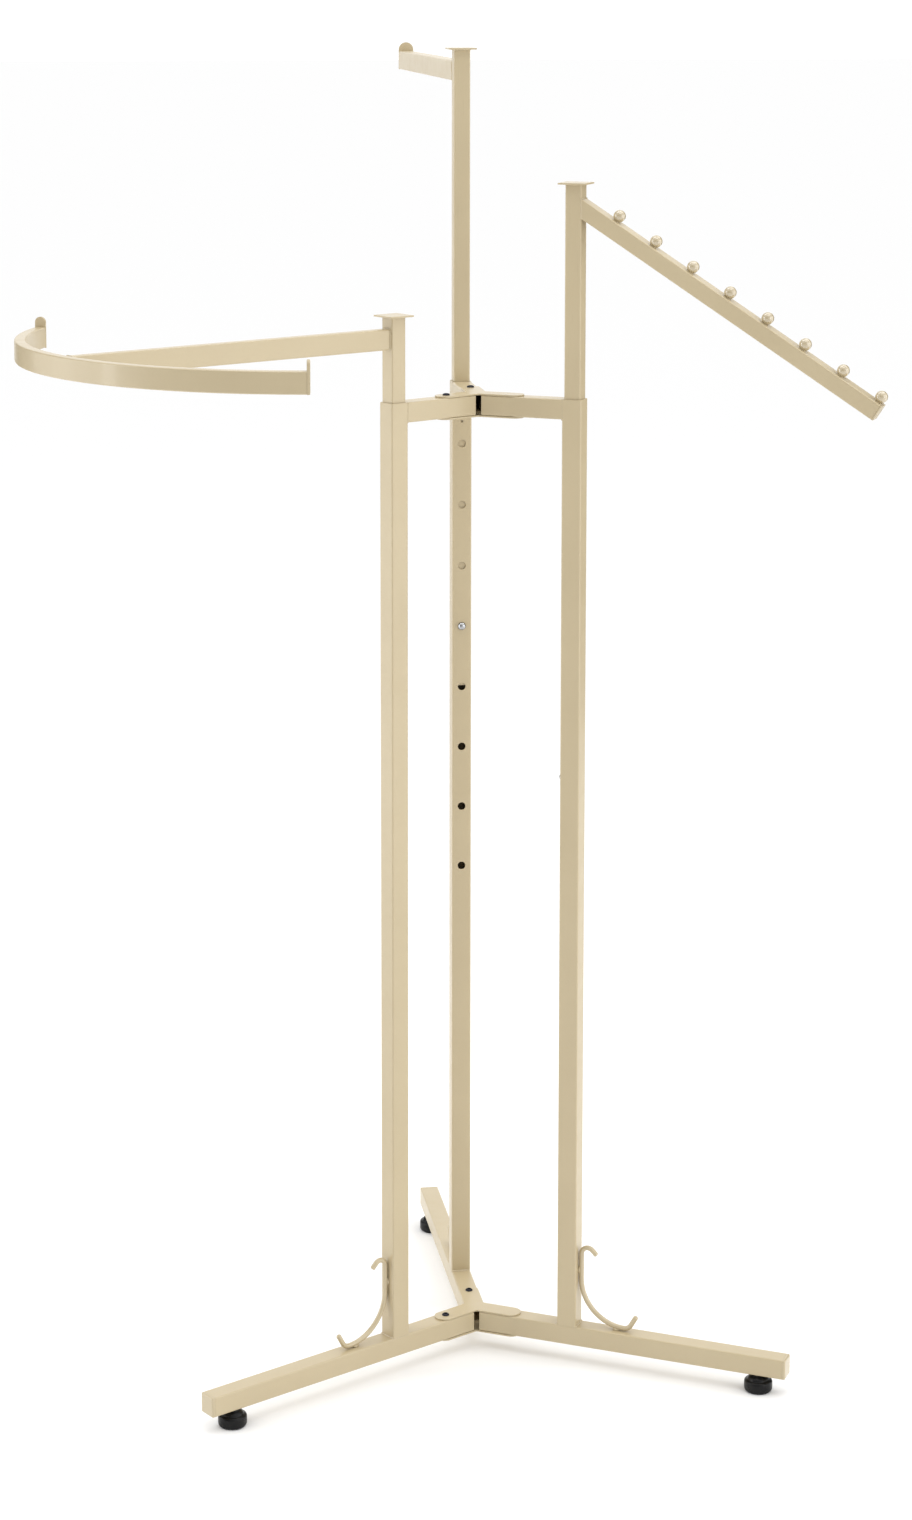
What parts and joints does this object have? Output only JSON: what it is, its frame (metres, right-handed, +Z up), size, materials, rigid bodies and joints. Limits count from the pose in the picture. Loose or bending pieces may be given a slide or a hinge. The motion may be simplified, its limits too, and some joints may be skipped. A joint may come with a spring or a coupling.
{
  "type": "three way clothing rack",
  "caption": "Floor rack for clothes: bolted leg frames carry telescoping masts with a curved, a straight and a slanted hanging arm.",
  "frame": {"origin": "middle of the footprint of the whole rack's bounding box, on the floor under the feet", "axes": "+Z up, +Y along the leg with the straight arm, +X to its right seen from above"},
  "size_m": [0.9799, 1.078, 1.5932],
  "materials": {
    "base_tube_a": "ivory-khaki powder coat, semi-gloss",
    "base_tube_b": "ivory-khaki powder coat, semi-gloss",
    "base_tube_c": "ivory-khaki powder coat, semi-gloss",
    "upright_a": "ivory-khaki powder coat, semi-gloss",
    "upright_b": "ivory-khaki powder coat, semi-gloss",
    "upright_c": "ivory-khaki powder coat, semi-gloss",
    "link_tube_a": "ivory-khaki powder coat, semi-gloss",
    "link_tube_b": "ivory-khaki powder coat, semi-gloss",
    "link_tube_c": "ivory-khaki powder coat, semi-gloss",
    "scroll_a": "ivory-khaki powder coat, semi-gloss",
    "scroll_b": "ivory-khaki powder coat, semi-gloss",
    "scroll_c": "ivory-khaki powder coat, semi-gloss",
    "end_cap_a": "ivory-khaki powder coat, semi-gloss",
    "end_cap_b": "ivory-khaki powder coat, semi-gloss",
    "end_cap_c": "ivory-khaki powder coat, semi-gloss",
    "weld_nut_a": "zinc plated steel",
    "weld_nut_b": "zinc plated steel",
    "weld_nut_c": "zinc plated steel",
    "hub_plate_top": "ivory-khaki powder coat, semi-gloss",
    "hub_plate_under_top": "ivory-khaki powder coat, semi-gloss",
    "hub_plate_low": "ivory-khaki powder coat, semi-gloss",
    "hub_plate_under_low": "ivory-khaki powder coat, semi-gloss",
    "hub_bolts_top": "dark oxide steel",
    "hub_bolts_low": "dark oxide steel",
    "hub_nuts_top": "zinc plated steel",
    "hub_nuts_low": "zinc plated steel",
    "mast_tube_a": "ivory-khaki powder coat, semi-gloss",
    "mast_cap_a": "ivory-khaki powder coat, semi-gloss",
    "snap_spring_a": "spring steel strip",
    "arm_tube_a": "ivory-khaki powder coat, semi-gloss",
    "curved_rail": "ivory-khaki powder coat, semi-gloss",
    "rail_tips": "ivory-khaki powder coat, semi-gloss",
    "mast_tube_b": "ivory-khaki powder coat, semi-gloss",
    "mast_cap_b": "ivory-khaki powder coat, semi-gloss",
    "snap_spring_b": "spring steel strip",
    "arm_tube_b": "ivory-khaki powder coat, semi-gloss",
    "arm_tip_b": "ivory-khaki powder coat, semi-gloss",
    "mast_tube_c": "ivory-khaki powder coat, semi-gloss",
    "mast_cap_c": "ivory-khaki powder coat, semi-gloss",
    "snap_spring_c": "spring steel strip",
    "arm_tube_c": "ivory-khaki powder coat, semi-gloss",
    "arm_end_c": "ivory-khaki powder coat, semi-gloss",
    "ball_stops": "ivory-khaki powder coat, semi-gloss",
    "snap_button_a": "bright plated steel",
    "snap_button_b": "bright plated steel",
    "snap_button_c": "bright plated steel",
    "foot_pad_a": "black molded plastic, matt",
    "foot_pad_b": "black molded plastic, matt",
    "foot_pad_c": "black molded plastic, matt",
    "foot_stud_a": "zinc plated steel",
    "foot_stud_b": "zinc plated steel",
    "foot_stud_c": "zinc plated steel"
  },
  "bodies": {
    "frame": {"base_tube_a": "base_tube_a", "base_tube_b": "base_tube_b", "base_tube_c": "base_tube_c", "upright_a": "upright_a", "upright_b": "upright_b", "upright_c": "upright_c", "link_tube_a": "link_tube_a", "link_tube_b": "link_tube_b", "link_tube_c": "link_tube_c", "scroll_a": "scroll_a", "scroll_b": "scroll_b", "scroll_c": "scroll_c", "end_cap_a": "end_cap_a", "end_cap_b": "end_cap_b", "end_cap_c": "end_cap_c", "weld_nut_a": "weld_nut_a", "weld_nut_b": "weld_nut_b", "weld_nut_c": "weld_nut_c", "hub_plate_top": "hub_plate_top", "hub_plate_under_top": "hub_plate_under_top", "hub_plate_low": "hub_plate_low", "hub_plate_under_low": "hub_plate_under_low", "hub_bolts_top": "hub_bolts_top", "hub_bolts_low": "hub_bolts_low", "hub_nuts_top": "hub_nuts_top", "hub_nuts_low": "hub_nuts_low"},
    "mast_a": {"mast_tube_a": "mast_tube_a", "mast_cap_a": "mast_cap_a", "snap_spring_a": "snap_spring_a", "arm_tube_a": "arm_tube_a", "curved_rail": "curved_rail", "rail_tips": "rail_tips"},
    "mast_b": {"mast_tube_b": "mast_tube_b", "mast_cap_b": "mast_cap_b", "snap_spring_b": "snap_spring_b", "arm_tube_b": "arm_tube_b", "arm_tip_b": "arm_tip_b"},
    "mast_c": {"mast_tube_c": "mast_tube_c", "mast_cap_c": "mast_cap_c", "snap_spring_c": "snap_spring_c", "arm_tube_c": "arm_tube_c", "arm_end_c": "arm_end_c", "ball_stops": "ball_stops"},
    "button_a": {"snap_button_a": "snap_button_a"},
    "button_b": {"snap_button_b": "snap_button_b"},
    "button_c": {"snap_button_c": "snap_button_c"},
    "pad_a": {"foot_pad_a": "foot_pad_a"},
    "pad_b": {"foot_pad_b": "foot_pad_b"},
    "pad_c": {"foot_pad_c": "foot_pad_c"},
    "stud_a": {"foot_stud_a": "foot_stud_a"},
    "stud_b": {"foot_stud_b": "foot_stud_b"},
    "stud_c": {"foot_stud_c": "foot_stud_c"}
  },
  "joints": [
    {"name": "mast_slide_a", "type": "slide", "parent": "frame", "child": "mast_a", "axis": [0, 0, 1], "range_m": [0, 0.4572]},
    {"name": "mast_slide_b", "type": "slide", "parent": "frame", "child": "mast_b", "axis": [0, 0, 1], "range_m": [-0.3048, 0.1524]},
    {"name": "mast_slide_c", "type": "slide", "parent": "frame", "child": "mast_c", "axis": [0, 0, 1], "range_m": [-0.1524, 0.3048]},
    {"name": "button_press_a", "type": "slide", "parent": "mast_a", "child": "button_a", "axis": [-0.866, -0.5, 0], "range_m": [0, 0.0065], "stiffness_N_per_m": 800, "springref_m": -0.005, "deforming": ["snap_spring_a"]},
    {"name": "button_press_b", "type": "slide", "parent": "mast_b", "child": "button_b", "axis": [0, 1, 0], "range_m": [0, 0.0065], "stiffness_N_per_m": 800, "springref_m": -0.005, "deforming": ["snap_spring_b"]},
    {"name": "button_press_c", "type": "slide", "parent": "mast_c", "child": "button_c", "axis": [0.866, -0.5, 0], "range_m": [0, 0.0065], "stiffness_N_per_m": 800, "springref_m": -0.005, "deforming": ["snap_spring_c"]},
    {"name": "foot_travel_a", "type": "slide", "parent": "frame", "child": "pad_a", "axis": [0, 0, -1], "range_m": [0, 0.015]},
    {"name": "stud_turn_a", "type": "hinge", "parent": "pad_a", "child": "stud_a", "pos_m": [-0.25909, -0.26448, 0.02], "axis": [0, 0, -1], "range_deg": [0, 4320]},
    {"name": "foot_travel_b", "type": "slide", "parent": "frame", "child": "pad_b", "axis": [0, 0, -1], "range_m": [0, 0.015]},
    {"name": "stud_turn_b", "type": "hinge", "parent": "pad_b", "child": "stud_b", "pos_m": [0.05614, 0.28152, 0.02], "axis": [0, 0, -1], "range_deg": [0, 4320]},
    {"name": "foot_travel_c", "type": "slide", "parent": "frame", "child": "pad_c", "axis": [0, 0, -1], "range_m": [0, 0.015]},
    {"name": "stud_turn_c", "type": "hinge", "parent": "pad_c", "child": "stud_c", "pos_m": [0.37138, -0.26448, 0.02], "axis": [0, 0, -1], "range_deg": [0, 4320]}
  ],
  "couplings": [
    {"joint": "stud_turn_a", "follows": "foot_travel_a", "rad_per_m": 5026.5},
    {"joint": "stud_turn_b", "follows": "foot_travel_b", "rad_per_m": 5026.5},
    {"joint": "stud_turn_c", "follows": "foot_travel_c", "rad_per_m": 5026.5}
  ]
}
